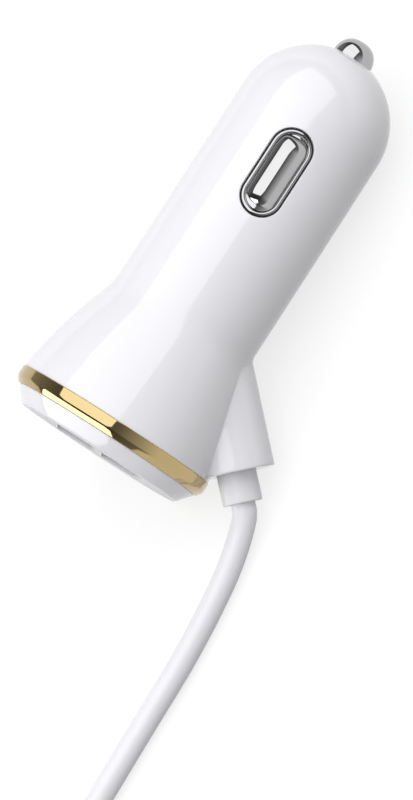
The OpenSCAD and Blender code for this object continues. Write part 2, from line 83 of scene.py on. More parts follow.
# Cable boss and grommet: the collar stands out of the boss, and its flange lies inside
BOSS_R, BOSS_REACH, BOSS_Z = 5.19, 16.76, 7.63
COLLAR_R, COLLAR_LEN, FLANGE_R, FLANGE_FRONT, FLANGE_BACK = 2.665, 4.07, 3.54, 1.4, 2.6
SLANT = np.sqrt(0.5)
OUT_OF_BOSS = np.array([0, -SLANT, -SLANT])
BOSS_MIDDLE = np.array([0, -BOSS_REACH, BOSS_Z])

# Cable, as it lies on the floor
CABLE_D = 3.3
COIL_X, COIL_Y, RUN_Y = -113.0, 5.3, -16.9
TAIL_Y, GRIP_AXIS, SLEEVE_START = 27.5, 3.1, -93.0

COLUMNS = 192
AROUND = np.radians(np.arange(COLUMNS) * 360 / COLUMNS)

# In metres: points nearer than this are one, and edges shorter than this are none
MEET, SLIVER = 2e-6, 1e-7


def lay(points):
    """Upright points to metres where the plug lies: rolled round its axis, tipped over, shifted."""
    p = np.asarray(points, float)
    x = p[..., 0] * np.cos(ROLL) - p[..., 1] * np.sin(ROLL)
    y = p[..., 0] * np.sin(ROLL) + p[..., 1] * np.cos(ROLL)
    z = p[..., 2]
    return np.stack([
        z * np.cos(TILT) - x * np.sin(TILT) - MID_X,
        y - MID_Y,
        REST_H - x * np.cos(TILT) - z * np.sin(TILT),
    ], -1) / 1000


def lay_way(direction):
    """An upright direction, turned as the plug lies."""
    way = lay(direction) - lay([0, 0, 0])
    return way / np.linalg.norm(way)


def grid_faces(rows, cols, close_rows=False):
    """Quads of a rows by cols grid: each point with its next row and next column. The last column
    joins the first, and so does the last row where close_rows says so."""
    i, j = np.meshgrid(
        np.arange(rows if close_rows else rows - 1), np.arange(cols), indexing="ij")
    a, b = (i + 1) % rows, (j + 1) % cols
    return np.stack([i * cols + j, i * cols + b, a * cols + b, a * cols + j], -1).reshape(-1, 4)


def laid_grid(rows):
    """A grid of upright points as it lies, with its faces."""
    return lay(rows), grid_faces(*rows.shape[:2])


def soften(corners, radii, steps=5):
    """A line through corners, each corner traded for a parabola that starts and ends a radius
    away."""
    c = np.asarray(corners, float)
    s = np.linspace(0, 1, steps)[:, None]
    parts = [c[:1]]
    for k in range(1, len(c) - 1):
        if radii[k] == 0:
            parts.append(c[k:k + 1])
            continue
        back, on = c[k - 1] - c[k], c[k + 1] - c[k]
        start = c[k] + radii[k] * back / np.linalg.norm(back)
        end = c[k] + radii[k] * on / np.linalg.norm(on)
        parts.append((1 - s)**2 * start + 2 * s * (1 - s) * c[k] + s**2 * end)
    parts.append(c[-1:])
    return np.concatenate(parts)


def arc(centre, r, start, end, steps):
    """Points of an arc, angles in radians."""
    a = np.linspace(start, end, steps)
    return np.asarray(centre) + r * np.stack([np.cos(a), np.sin(a)], -1)


def fall(r, far):
    """How far an arc of radius r has come down at a distance from its top."""
    return r - np.sqrt(r**2 - far**2)


def turned(profile):
    """A profile of [radius, height] turned round the z axis: rows of [r cos a, r sin a, h]."""
    p = np.asarray(profile, float)
    r, h = p[:, 0, None], p[:, 1, None]
    return np.stack([r * np.cos(AROUND), r * np.sin(AROUND), h + 0 * AROUND], -1)


def as_drawn(points):
    """The same points, left where they are."""
    return points


def turned_half_way(points):
    """The same points turned by half a turn round the plug's axis."""
    return points * np.array([-1, -1, 1])


def boss_frame(points):
    """Points whose z runs out of the boss, with its end face at 0, to the upright plug."""
    x, y, z = np.moveaxis(np.asarray(points, float), -1, 0)
    return np.stack([x, -BOSS_REACH - SLANT * (y + z), BOSS_Z + SLANT * (y - z)], -1)


def piece(name, grids, finish, stands_for, crisp, body="plug"):
    """One closed mesh from grids of points in metres, each given with its faces; points that meet
    are merged, faces point outwards, and edges sharper than crisp degrees stay crisp. It rides on
    a body and stands for its CAD nodes."""
    points, faces, first = [], [], 0
    for block, quads in grids:
        points.append(block.reshape(-1, 3))
        faces.append(quads + first)
        first += len(points[-1])
    mesh = bpy.data.meshes.new(name)
    mesh.from_pydata(np.concatenate(points).tolist(), [], np.concatenate(faces).tolist())
    work = bmesh.new()
    work.from_mesh(mesh)
    bmesh.ops.remove_doubles(work, verts=work.verts, dist=MEET)
    bmesh.ops.dissolve_degenerate(work, edges=work.edges, dist=SLIVER)
    bmesh.ops.recalc_face_normals(work, faces=work.faces)
    work.to_mesh(mesh)
    work.free()
    mesh.shade_smooth()
    mesh.set_sharp_from_angle(angle=np.radians(crisp))
    thing = bpy.data.objects.new(name, mesh)
    bpy.context.scene.collection.objects.link(thing)
    material, slot = FINISHES[finish]
    mesh.materials.append(material)
    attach(thing, body)
    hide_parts(*stands_for)
    return thing


def turned_piece(name, profile, finish, place=as_drawn, **options):
    """A piece turned from one profile, closed where its two ends meet or reach the axis."""
    return piece(name, [laid_grid(place(turned(profile)))], finish, **options)


def face_middles(thing, origin):
    """The middle of each face of a piece, in millimetres from an upright point."""
    middles = np.empty(3 * len(thing.data.polygons))
    thing.data.polygons.foreach_get("center", middles)
    return (middles.reshape(-1, 3) - lay(origin)) * 1000


def give_faces(thing, material, chosen):
    """Gives the chosen faces of a piece a second finish."""
    thing.data.materials.append(material)
    thing.data.polygons.foreach_set("material_index", chosen.astype(np.int32))


# Finishes

class Nodes:
    """The node tree of a material or a world, with short ways to add nodes."""

    def __init__(self, owner, shader="Principled BSDF"):
        owner.use_nodes = True
        self.owner, self.tree = owner, owner.node_tree
        self.shader = self.tree.nodes[shader]

    def add(self, kind, **values):
        """A node, with each value set on the input or the option of that name."""
        node = self.tree.nodes.new(kind)
        for key, value in values.items():
            if key in node.inputs:
                node.inputs[key].default_value = value
            else:
                setattr(node, key, value)
        return node

    def join(self, out, into):
        self.tree.links.new(out, into)

    def combine(self, operation, one, two, kind="ShaderNodeMath"):
        """Two outputs put together by a Math or Vector Math node."""
        node = self.add(kind, operation=operation)
        self.join(one, node.inputs[0])
        self.join(two, node.inputs[1])
        return node.outputs[0]

    def noise(self, scale, detail=3.0):
        """Soft noise; scale counts per metre, so that 60 gives clouds of about 17 mm."""
        place = self.add("ShaderNodeTexCoord")
        cloud = self.add("ShaderNodeTexNoise", Scale=scale, Detail=detail)
        self.join(place.outputs["Object"], cloud.inputs["Vector"])
        return cloud.outputs["Fac"]

    def ramp(self, value, stops):
        """A value turned to a colour, by stops of (place, colour)."""
        ramp = self.add("ShaderNodeValToRGB")
        while len(ramp.color_ramp.elements) < len(stops):
            ramp.color_ramp.elements.new(0.5)
        for element, (place, colour) in zip(ramp.color_ramp.elements, stops):
            element.position, element.color = place, (*colour, 1)
        self.join(value, ramp.inputs["Fac"])
        return ramp.outputs["Color"]

    def spread(self, value, low, high, start=0.0, end=1.0):
        """A value that runs from start to end, spread to run from low to high."""
        spread = self.add("ShaderNodeMapRange")
        for key, number in zip(("From Min", "From Max", "To Min", "To Max"),
                               (start, end, low, high)):
            spread.inputs[key].default_value = number
        self.join(value, spread.inputs["Value"])
        return spread.outputs["Result"]

    def bump(self, height, strength, distance):
        bump = self.add("ShaderNodeBump", Strength=strength, Distance=distance)
        self.join(height, bump.inputs["Height"])
        self.join(bump.outputs["Normal"], self.shader.inputs["Normal"])


def new_material(name):
    return Nodes(bpy.data.materials.new(name))


def plastic(name, low, high, rough, grain, depth):
    """Moulded plastic: two close tones in soft clouds, and a fine skin as bump."""
    n = new_material(name)
    n.join(n.ramp(n.noise(60), [(0.3, low), (0.7, high)]), n.shader.inputs["Base Color"])
    n.join(n.spread(n.noise(220, 4), rough * 0.85, rough * 1.15), n.shader.inputs["Roughness"])
    n.shader.inputs["IOR"].default_value = 1.5
    n.bump(n.noise(grain, 2), 0.3, depth)
    return n.owner


def metal(name, low, high, rough):
    """Plated or rolled metal: slight clouds in the colour and polish, and a faint grain."""
    n = new_material(name)
    n.shader.inputs["Metallic"].default_value = 1.0
    n.join(n.ramp(n.noise(90, 4), [(0.35, low), (0.65, high)]), n.shader.inputs["Base Color"])
    n.join(n.spread(n.noise(260, 5), rough * 0.7, rough * 1.3), n.shader.inputs["Roughness"])
    n.bump(n.noise(300, 3), 0.2, 2e-6)
    return n.owner


def solder_mask():
    """Green solder mask: bricks of two greens, with lighter raised lines between them."""
    n = new_material("solder mask")
    place = n.add("ShaderNodeTexCoord")
    cells = n.add("ShaderNodeTexBrick", Scale=320.0)
    cells.inputs["Mortar Size"].default_value = 0.03
    cells.inputs["Color1"].default_value = (0.01, 0.12, 0.045, 1)
    cells.inputs["Color2"].default_value = (0.012, 0.16, 0.06, 1)
    cells.inputs["Mortar"].default_value = (0.02, 0.24, 0.09, 1)
    n.join(place.outputs["Object"], cells.inputs["Vector"])
    n.join(cells.outputs["Color"], n.shader.inputs["Base Color"])
    n.join(n.spread(n.noise(300), 0.25, 0.4), n.shader.inputs["Roughness"])
    n.bump(cells.outputs["Fac"], 0.3, 1e-5)
    return n.owner


# Each plastic: name, two tones, roughness, how fine its skin is, and how deep in metres
WHITE = plastic(
    "white gloss housing", (0.80, 0.797, 0.832), (0.815, 0.812, 0.846), 0.07, 500, 1e-6)
FACE_WHITE = plastic(
    "white matt end face", (0.78, 0.78, 0.80), (0.80, 0.80, 0.82), 0.5, 700, 4e-6)
CABLE_WHITE = plastic(
    "white satin cable", (0.79, 0.787, 0.83), (0.82, 0.817, 0.858), 0.33, 900, 4e-6)
CORE_WHITE = plastic("socket core", (0.70, 0.71, 0.72), (0.76, 0.77, 0.78), 0.4, 700, 3e-6)
FERRITE = plastic("dark ferrite", (0.03, 0.03, 0.032), (0.07, 0.07, 0.075), 0.6, 1500, 2e-5)
CHIP_BLACK = plastic(
    "chip moulding", (0.015, 0.015, 0.017), (0.03, 0.03, 0.032), 0.5, 2500, 8e-6)
RED = plastic("red lead", (0.42, 0.02, 0.015), (0.5, 0.03, 0.02), 0.35, 800, 4e-6)
BLACK = plastic("black lead", (0.012, 0.012, 0.013), (0.02, 0.02, 0.022), 0.35, 800, 4e-6)

# Each metal: name, two tones and roughness
GOLD = metal("polished gold plate", (0.45, 0.345, 0.17), (0.47, 0.36, 0.18), 0.05)
CHROME = metal("bright chrome", (0.4, 0.4, 0.405), (0.43, 0.43, 0.435), 0.04)
# Painted shade: a near-black metal for the rim's outer edge, standing in for the shadow in the gap
# round the rim
RIM_PAINTED_SHADE = metal("dark rim edge", (0.05, 0.05, 0.055), (0.07, 0.07, 0.075), 0.3)
SPRING = metal("spring steel", (0.45, 0.44, 0.42), (0.55, 0.54, 0.52), 0.25)
SOCKET_STEEL = metal("tinned socket steel", (0.60, 0.60, 0.59), (0.68, 0.68, 0.67), 0.22)
CONTACT_GOLD = metal("gold contact strips", (0.80, 0.56, 0.22), (0.88, 0.64, 0.28), 0.2)
ALUMINIUM = metal("can aluminium", (0.55, 0.56, 0.58), (0.66, 0.67, 0.69), 0.28)

# A new piece's finish: its material, and its slot in the record
FINISHES = {
    "white": (WHITE, "white_gloss"),
    "cable": (CABLE_WHITE, "cable_white"),
    "gold": (GOLD, "gold_plate"),
    "chrome": (CHROME, "chrome"),
    "spring": (SPRING, "spring_steel"),
}

# The solids that stay, and their materials
CARRIED = {
    "tip_terminal": CONTACT_GOLD,
    "circuit_board": solder_mask(),
    "power_inductor": FERRITE,
    "input_capacitor": ALUMINIUM,
    "output_capacitor": ALUMINIUM,
    "controller_chip": CHIP_BLACK,
    "fuse": CORE_WHITE,
    "usb_shell_near": SOCKET_STEEL,
    "usb_shell_far": SOCKET_STEEL,
    "usb_core_near": CORE_WHITE,
    "usb_core_far": CORE_WHITE,
    "usb_pins_near": CONTACT_GOLD,
    "usb_pins_far": CONTACT_GOLD,
    "lead_positive": RED,
    "lead_negative": BLACK,
    "plug_sleeve": CABLE_WHITE,
    "plug_grip": WHITE,
    "plug_shell": SOCKET_STEEL,
    "plug_tongue": CHIP_BLACK,
}


def give_finish(node, material):
    """Puts a finish on a carried solid, whose mesh and place stay as they are."""
    for thing in bpy.data.objects:
        if thing.type != "MESH" or thing.name.split(".")[0] != node:
            continue
        if not thing.material_slots:
            thing.data.materials.append(material)
        for slot in thing.material_slots:
            slot.material = material


for node_name, node_finish in CARRIED.items():
    give_finish(node_name, node_finish)


# Housing

# The flare is an arc, the shoulder, that runs from the ring to TURN, where the hollow fillet
# of the barrel takes over at the steepest slope
TURN = np.array([
    BARREL_R + FILLET_R - FILLET_R * np.cos(STEEPEST), FLARE_END - FILLET_R * np.sin(STEEPEST)])
START_SLOPE = 2 * np.arctan((TAIL_R - TURN[0]) / (TURN[1] - RING_FRONT)) - STEEPEST
SHOULDER_R = (TURN[1] - RING_FRONT) / (np.sin(STEEPEST) - np.sin(START_SLOPE))
SHOULDER = TURN - SHOULDER_R * np.array([np.cos(STEEPEST), np.sin(STEEPEST)])

# Heights of the rows round the boss, between boss and contacts, and round the contacts
BOSS_LOW, BOSS_HIGH, CONTACTS_LOW, CONTACTS_HIGH = 4.68, 23.2, 35.0, 51.3
BOSS_ROWS = np.linspace(BOSS_LOW, BOSS_HIGH, 40)
MID_ROWS = np.linspace(BOSS_HIGH, CONTACTS_LOW, 10)[1:-1]
CONTACT_ROWS = np.linspace(CONTACTS_LOW, CONTACTS_HIGH, 44)

# Half the columns of the boss's and a contact's window
HALF_BOSS, HALF_CONTACT = 20, 13


def barrel_r(z):
    """Radius of the barrel, which narrows a little in a straight line from the contacts to the
    nose."""
    return np.interp(z, [PLAIN_END, BARREL_END], [BARREL_R, NOSE_R])


def outside_r(z, inset=0.0):
    """Radius of the housing at height z: a round shoulder, a hollow fillet, then the plain barrel.
    inset moves the surface inwards by that wall."""
    turn_z = FLARE_END - (FILLET_R + inset) * np.sin(STEEPEST)
    shoulder = SHOULDER[0] + np.sqrt(np.maximum((SHOULDER_R - inset)**2 - (z - SHOULDER[1])**2, 0))
    fillet = barrel_r(z) + FILLET_R - np.sqrt(
        np.maximum((FILLET_R + inset)**2 - (np.minimum(z, FLARE_END) - FLARE_END)**2, 0))
    return np.where(z < turn_z, shoulder, fillet)


def on_outside(z, a):
    """The point of the housing's outside at height z and angle a."""
    r = outside_r(z)
    return np.stack([r * np.cos(a), r * np.sin(a), z], -1)


def housing_profile():
    """The closed outline of the wall, [radius, height]: outside from tail to nose, through the
    tip's hole, and back along the inside. Also the rows at which its windows start."""
    tail_edge_z = 4.6
    tail = soften(
        [[TAIL_R - 0.2, RING_FRONT], [TAIL_R, RING_FRONT], [outside_r(tail_edge_z), tail_edge_z]],
        [0, 0.15, 0], 4)
    rise = np.concatenate([BOSS_ROWS, MID_ROWS, CONTACT_ROWS])
    dome = arc([0, BARREL_END], NOSE_R, 0, np.arccos((TIP_HOLE_R + 0.12) / NOSE_R), 26)
    lip_z = dome[-1][1]
    lip = soften(
        [dome[-1], [TIP_HOLE_R, lip_z + 0.02], [TIP_HOLE_R, lip_z - 0.4]], [0, 0.1, 0], 4)[1:]
    inner_dome = arc([0, BARREL_END], BORE_R, np.arccos(SEAT_R / BORE_R), 0, 16)
    descent = np.concatenate([CONTACT_ROWS[::-1], MID_ROWS[::-1]])
    low = np.linspace(BOSS_HIGH, SKIRT_END, 18)
    profile = np.concatenate([
        tail,
        np.stack([outside_r(rise), rise], -1),
        dome, lip,
        [[TIP_HOLE_R, NOSE_SEAT], [SEAT_R, NOSE_SEAT]],
        inner_dome[1:],
        np.stack([BORE_R + 0 * descent, descent], -1),
        np.stack([outside_r(low, WALL), low], -1),
        [[LAND_R, SKIRT_END], [LAND_R, RING_FRONT]],
    ])
    boss0 = len(tail)
    contact0 = boss0 + len(BOSS_ROWS) + len(MID_ROWS)
    inner0 = contact0 + len(CONTACT_ROWS) + len(dome) + len(lip) + 2 + len(inner_dome) - 1
    return profile, boss0, contact0, inner0


def loop_round(i0, i1, j0, j1):
    """Row and column numbers once round a window of a grid."""
    rows, cols = np.arange(i0, i1), np.arange(j0, j1)
    i = np.concatenate([np.full(len(cols), i0), rows, np.full(len(cols), i1), rows[::-1] + 1])
    j = np.concatenate([cols, np.full(len(rows), j1), cols[::-1] + 1, np.full(len(rows), j0)])
    return i, j % COLUMNS


def boss_curve(theta):
    """Where the boss meets the housing, by halving. theta turns round the boss from its upper
    side. Gives the way out from the boss's axis, the distance from that axis and the depth behind
    the boss's end face."""
    e = (np.cos(theta)[:, None] * np.array([0, -SLANT, SLANT])
         + np.sin(theta)[:, None] * np.array([1, 0, 0]))

    def clear(rho, depth):
        p = BOSS_MIDDLE + rho[:, None] * e - depth[:, None] * OUT_OF_BOSS
        return np.hypot(p[:, 0], p[:, 1]) - outside_r(p[:, 2])

    deepest = 15.5
    rho_low, rho_high = np.zeros(len(theta)), np.full(len(theta), BOSS_R)
    depth_low, depth_high = np.zeros(len(theta)), np.full(len(theta), deepest)
    in_face = clear(rho_high, depth_low) < 0
    for _ in range(40):
        rho = (rho_low + rho_high) / 2
        out = clear(rho, 0 * rho) > 0
        rho_low, rho_high = np.where(out, rho, rho_low), np.where(out, rho_high, rho)
        depth = (depth_low + depth_high) / 2
        out = clear(np.full(len(theta), BOSS_R), depth) > 0
        depth_low, depth_high = np.where(out, depth, depth_low), np.where(out, depth_high, depth)
    return e, np.where(in_face, rho_low, BOSS_R), np.where(in_face, 0, depth_low)


def boss_patch(z_edge, a_edge):
    """The slanted boss, as columns that leave a window of the housing's outside: over the surface
    to a small hollow fillet, along the boss, round its edge, over its end face and into the
    collar's hole. Bearings count round the middle of the boss's foot."""
    mid_z, mid_r = 11.9, 12.5

    def bearing(z, a):
        return np.arctan2(mid_r * (a + np.pi / 2), z - mid_z)

    def on_boss(e, out, deep):
        return BOSS_MIDDLE + out[:, None] * e - deep[:, None] * OUT_OF_BOSS

    theta_all = np.linspace(-np.pi, np.pi, 721)
    foot = on_boss(*boss_curve(theta_all))
    foot_bearing = bearing(foot[:, 2], np.arctan2(foot[:, 1], foot[:, 0]))
    foot_bearing[0], foot_bearing[-1] = -np.pi, np.pi
    theta = np.interp(bearing(z_edge, a_edge), foot_bearing, theta_all)
    e, rho, depth = boss_curve(theta)
    foot = on_boss(e, rho, depth)
    foot_z, foot_a = foot[:, 2], np.arctan2(foot[:, 1], foot[:, 0])
    fillet = np.minimum(0.25 + 0.35 * np.clip(np.cos(theta), 0, 1)**2, 0.35 * depth)
    start = fillet / np.hypot(z_edge - foot_z, mid_r * (a_edge - foot_a))
    rows = []
    for t in np.linspace(0, 1, 9):
        k = 1 - t * (1 - start)
        rows.append(on_outside(foot_z + k * (z_edge - foot_z), foot_a + k * (a_edge - foot_a)))
    fillet_start, on_side = rows[-1], on_boss(e, rho, depth - fillet)
    for t in np.linspace(0, 1, 6)[1:]:
        rows.append((1 - t)**2 * fillet_start + 2 * t * (1 - t) * foot + t**2 * on_side)
    edge = np.minimum(0.22, 0.4 * depth)
    for t in np.linspace(0, 1, 12)[1:]:
        rows.append(on_boss(e, rho, (depth - fillet) + t * (edge - (depth - fillet))))
    for a in np.linspace(0, np.pi / 2, 5)[1:]:
        rows.append(on_boss(e, rho - edge * (1 - np.cos(a)), edge * (1 - np.sin(a))))
    hole, bevel = COLLAR_R + 0.05, 0.1
    for t in np.linspace(0, 1, 5)[1:]:
        out = (rho - edge) + t * (hole + bevel - (rho - edge))
        rows.append(BOSS_MIDDLE + out[:, None] * e)
    for out, deep in ((hole + 0.03, 0.03), (hole, bevel), (hole, FLANGE_BACK), (0, FLANGE_BACK)):
        rows.append(BOSS_MIDDLE + out * e - deep * OUT_OF_BOSS)
    return np.stack(rows)


def beside_straight(z, y):
    """Nearest point of a contact's straight middle line, the way out from it and the distance."""
    along = np.clip(z - CONTACT_Z, -STRAIGHT, STRAIGHT)
    dz = z - CONTACT_Z - along
    far = np.hypot(dz, y)
    return along, dz / far, y / far, far


def contact_patch(z_edge, a_edge):
    """The stepped window of the +x side contact: over the barrel to the round-ended pocket, down
    to its ledge, through the wall, and over the bore to the matching window of the inside."""
    along, nz, ny, far = beside_straight(z_edge, barrel_r(z_edge) * np.sin(a_edge))

    def at(rho, x):
        z, y = CONTACT_Z + along + nz * rho, ny * rho
        return np.stack([x(z, y), y, z], -1)

    def barrel(less=0.0):
        return lambda z, y: np.sqrt(barrel_r(z)**2 - y**2) - less

    def flat(z, y):
        return RIM_BASE + 0 * y

    def bore(z, y):
        return np.sqrt(BORE_R**2 - y**2)

    rows = [at(far + t * (POCKET_R + 0.12 - far), barrel()) for t in np.linspace(0, 1, 12)]
    rows += [at(POCKET_R + 0.04, barrel(0.025)), at(POCKET_R, barrel(0.1))]
    rows += [at(POCKET_R, flat), at(OPENING_R, flat), at(OPENING_R, bore)]
    z0, y0 = rows[-1][:, 2], rows[-1][:, 1]
    z1, y1 = z_edge, BORE_R * np.sin(a_edge)
    for t in np.linspace(0, 1, 5)[1:]:
        z, y = z0 + t * (z1 - z0), y0 + t * (y1 - y0)
        rows.append(np.stack([bore(z, y), y, z], -1))
    return np.stack(rows)


def make_housing():
    """The wall turned round the axis, with a window cut for the boss and two for each contact;
    a patch fills the first, and a patch joins each outer contact window to its inner one."""
    profile, boss0, contact0, inner0 = housing_profile()
    rows = turned(profile)
    quads = grid_faces(len(profile), COLUMNS, close_rows=True)
    i, j = quads[:, 0] // COLUMNS, quads[:, 0] % COLUMNS
    boss1 = boss0 + len(BOSS_ROWS) - 1
    contact1, inner1 = contact0 + len(CONTACT_ROWS) - 1, inner0 + len(CONTACT_ROWS) - 1
    at_boss, at_plus, at_minus = COLUMNS * 3 // 4, 0, COLUMNS // 2

    def inside(low, high, middle, half):
        shifted = (j - middle + half) % COLUMNS
        return (i >= low) & (i < high) & (shifted < 2 * half)

    holes = inside(boss0, boss1, at_boss, HALF_BOSS)
    for middle in (at_plus, at_minus):
        holes |= inside(contact0, contact1, middle, HALF_CONTACT)
        holes |= inside(inner0, inner1, middle, HALF_CONTACT)
    grids = [(lay(rows), quads[~holes])]
    bi, bj = loop_round(boss0, boss1, at_boss - HALF_BOSS, at_boss + HALF_BOSS)
    grids.append(laid_grid(boss_patch(profile[bi, 1], AROUND[bj] - 2 * np.pi)))
    ci, cj = loop_round(contact0, contact1, -HALF_CONTACT, HALF_CONTACT)
    patch = contact_patch(profile[ci, 1], AROUND[cj])
    grids += [laid_grid(patch), laid_grid(turned_half_way(patch))]
    piece("housing", grids, "white", stands_for=["housing_shell"], crisp=26)


make_housing()


# End cap

CAP_FACE_R, CAP_RIM_R, CAP_LEN, SKIRT_R, SKIRT_IN = 11.85, 13.68, 2.12, 12.8, 11.6
CAP_SKIRT_END = SKIRT_END - 0.05
SOCKET_Y, SOCKET_W, SOCKET_H, SOCKET_CORNER = 3.45, 13.3, 5.9, 0.7


def window_r(bearing):
    """Distance from the middle of a socket's round-cornered window to its edge, by bearing."""
    x, y = SOCKET_W / 2 - SOCKET_CORNER, SOCKET_H / 2 - SOCKET_CORNER
    corners = [(x, y), (-x, y), (-x, -y), (x, -y)]
    parts = [arc(c, SOCKET_CORNER, k * np.pi / 2, (k + 1) * np.pi / 2, 9)
             for k, c in enumerate(corners)]
    line = np.concatenate(parts + [parts[0][:1]])
    t = np.linspace(0, 1, 40, endpoint=False)[:, None, None]
    line = (line[:-1] + t * (line[1:] - line[:-1])).transpose(1, 0, 2).reshape(-1, 2)
    turn, far = np.arctan2(line[:, 1], line[:, 0]), np.hypot(line[:, 0], line[:, 1])
    order = np.argsort(turn)
    return np.interp(bearing, turn[order], far[order], period=2 * np.pi)


def cap_half(side):
    """Half of the cap's end wall round one socket's window: columns from the rim and the middle
    line to the window, through the wall, and back over the inside."""
    a = AROUND[:COLUMNS // 2 + 1]
    flat = np.linspace(-1, 1, 62)[1:-1]
    unit = np.concatenate([np.stack([np.cos(a), np.sin(a)], -1), np.stack([flat, 0 * flat], -1)])
    unit[:, 1] *= side
    middle = np.array([0, side * SOCKET_Y])

    def row(r, k, grow, z):
        """A share k of the way from radius r to the window, which is larger by grow."""
        edge = unit * r - middle
        far = np.hypot(edge[:, 0], edge[:, 1])
        near = window_r(np.arctan2(edge[:, 1], edge[:, 0])) + grow
        p = middle + ((far + k * (near - far)) / far)[:, None] * edge
        return np.concatenate([p, np.full((len(p), 1), z)], -1)

    front = [row(CAP_FACE_R, k, 0.12, 0.0) for k in (0, 0.5, 1)]
    edge = [row(CAP_FACE_R, 1, 0.035, 0.035), row(CAP_FACE_R, 1, 0, 0.12)]
    back = [row(SKIRT_IN, k, 0.0, CAP_LEN) for k in (1, 0.5, 0)]
    return np.stack(front + edge + back)


def make_end_cap():
    """The cone and skirt, turned, and the end wall's two halves. The end face is matt."""
    profile = soften(
        [[CAP_FACE_R, 0], [CAP_FACE_R + 0.24, 0.12], [CAP_RIM_R, CAP_LEN], [SKIRT_R, CAP_LEN],
         [SKIRT_R, CAP_SKIRT_END], [SKIRT_IN, CAP_SKIRT_END], [SKIRT_IN, CAP_LEN]],
        [0, 0.1, 0.12, 0, 0.1, 0.1, 0])
    grids = [laid_grid(turned(profile)), laid_grid(cap_half(1)), laid_grid(cap_half(-1))]
    cap = piece("end_cap_shell", grids, "white", stands_for=["end_cap"], crisp=30)
    height = face_middles(cap, [0, 0, 0]) @ lay_way([0, 0, 1])
    give_faces(cap, FACE_WHITE, height < 0.01)


make_end_cap()


# Gold ring, tip contact and its spring

RING_R, RING_BACK_R, RING_BAND, RING_MID = 14.5, 13.9, 2.95, 3.2
ring = soften(
    [[LAND_R, RING_MID], [LAND_R, CAP_LEN], [RING_BACK_R, CAP_LEN], [RING_R, RING_BAND],
     [RING_R, RING_FRONT], [LAND_R, RING_FRONT], [LAND_R, RING_MID]],
    [0, 0.1, 0.08, 0.3, 0.1, 0.1, 0], 8)
turned_piece("gold_band", ring, "gold", stands_for=["gold_ring"], crisp=50)

# The tip's radii, and the heights at which its spring guide, flange, pin and dome start
GUIDE_R, TIP_FLANGE_R, TIP_R, TIP_TRAVEL = 1.3, 4.1, 2.86, 2
GUIDE_Z, TIP_FLANGE_Z, PIN_Z, DOME_Z = 57.286, 58.286, 59.386, 61.56


def make_tip():
    """The pin with its flange and guide. Its dome is a little fuller than a ball: the radius goes
    as a cosine to the power 0.8, and the height as a sine."""
    turn = np.linspace(0, np.pi / 2, 30)[1:]
    stem = soften(
        [[0, GUIDE_Z], [GUIDE_R, GUIDE_Z], [GUIDE_R, TIP_FLANGE_Z], [TIP_FLANGE_R, TIP_FLANGE_Z],
         [TIP_FLANGE_R, PIN_Z], [TIP_R, PIN_Z], [TIP_R, DOME_Z]],
        [0, 0.2, 0, 0.15, 0.15, 0, 0])
    dome = np.stack([TIP_R * np.maximum(np.cos(turn), 0)**0.8, DOME_Z + TIP_R * np.sin(turn)], -1)
    turned_piece("tip_pin", np.concatenate([stem, dome]), "chrome", body="tip",
                 stands_for=["tip_contact"], crisp=40)


make_tip()


def tube(path, r, sides):
    """A tube along a path: rings of radius r across its direction, with closed ends."""
    along = np.gradient(path, axis=0)
    along /= np.linalg.norm(along, axis=1, keepdims=True)
    across = np.cross(along, (0, 0, 1))
    across /= np.linalg.norm(across, axis=1, keepdims=True)
    over = np.cross(across, along)
    a = np.linspace(0, 2 * np.pi, sides, endpoint=False)
    rings = path[:, None] + r * (
        np.cos(a)[:, None] * across[:, None] + np.sin(a)[:, None] * over[:, None])
    ends = [np.repeat(path[k][None, None], sides, 1) for k in (0, -1)]
    return np.concatenate([ends[0], rings, ends[1]])


SPRING_FOOT, SPRING_LEN, SPRING_TURNS, SPRING_R, WIRE_R = 52.286, 6, 5, 1.67, 0.22


def make_tip_spring():
    """A helix of five even turns."""
    turn = np.linspace(0, SPRING_TURNS, 241)
    a = 2 * np.pi * turn
    low, high = SPRING_FOOT + 0.27, TIP_FLANGE_Z - 0.27
    path = np.stack([
        SPRING_R * np.cos(a), SPRING_R * np.sin(a), low + (high - low) * (turn / SPRING_TURNS)], -1)
    spring = piece("tip_coil", [laid_grid(tube(path, WIRE_R, 10))], "spring",
                   stands_for=["tip_spring"], crisp=60)
    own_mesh(spring)


make_tip_spring()


# Side contacts, their rims and their leaf springs

def round_ended(steps, side):
    """Once round a straight line with round ends: nearest point of the line and the way out."""
    a = np.linspace(-np.pi / 2, np.pi / 2, steps)
    straight = np.linspace(-STRAIGHT, STRAIGHT, side)[1:-1]
    along = np.concatenate(
        [np.full(steps, STRAIGHT), straight[::-1], np.full(steps, -STRAIGHT), straight])
    turn = np.concatenate(
        [a, np.full(len(straight), np.pi / 2), a + np.pi, np.full(len(straight), 1.5 * np.pi)])
    return along, np.cos(turn), np.sin(turn)


ALONG, WAY_Z, WAY_Y = round_ended(32, 30)

# The contact's crown: its top, the straight half of its arch, the radius and the furthest reach
# of the arch's ends, and its radius across
CROWN_TOP, ARCH_HALF, ARCH_END_R, ARCH_REACH, ACROSS_R = 11.35, 3.0, 2.7, 2.6, 2.38
# The ledges beside the crown: their top, slope and radius, and how softly the crown meets them
LEDGE_TOP, LEDGE_SLOPE, LEDGE_R, MELT = 10.29, 0.045, 5, 0.1
# Down the contact's side and round its flange: [distance from its middle line, height]
CONTACT_R = 2.15
CONTACT_SIDE = ((CONTACT_R, 8.314), (2.65, 8.314), (2.75, 8.2), (2.75, 7.7), (2.7, 7.664),
                (0, 7.664))
# The rim: radius of its top, its outer radius, the middle and radius of its rounding, how far
# down its sides are, and where the painted shade on its outer edge starts
RIM_TOP_R, RIM_OUT, RIM_RIDGE, RIM_ROUND, RIM_SIDE, PAINTED_SHADE_FROM = 10.3, 2.92, 2.56, 0.42, 0.4, 2.66


